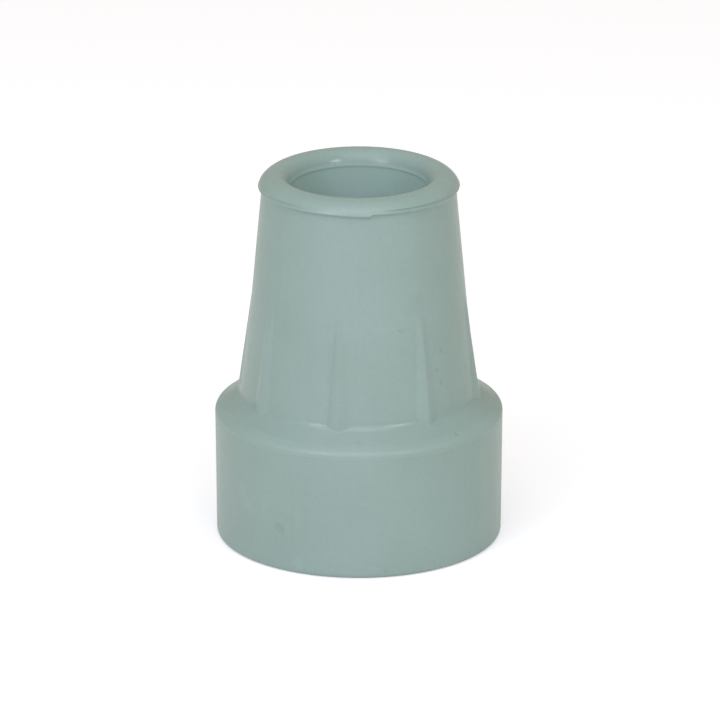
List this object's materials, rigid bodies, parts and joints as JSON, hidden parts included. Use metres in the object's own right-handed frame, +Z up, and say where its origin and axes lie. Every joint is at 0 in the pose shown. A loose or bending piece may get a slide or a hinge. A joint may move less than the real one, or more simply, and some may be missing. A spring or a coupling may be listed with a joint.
{
  "type": "rubber cane tip",
  "caption": "Moulded grey-green rubber tip for the foot of a walking cane: a tapered, ribbed neck with a rolled lip around a deep round socket, on a broad collar with a flat treaded sole.",
  "frame": {"origin": "middle of the sole, on the plane that the tip stands on", "axes": "+Z up along the socket and the cane; +X and -Y each pass through the crest of a rib"},
  "size_m": [0.04, 0.04, 0.0523],
  "materials": {
    "rubber": "smooth moulded rubber with a soft, nearly matte sheen"
  },
  "bodies": {
    "root": {"cane_tip": "rubber"}
  },
  "joints": []
}
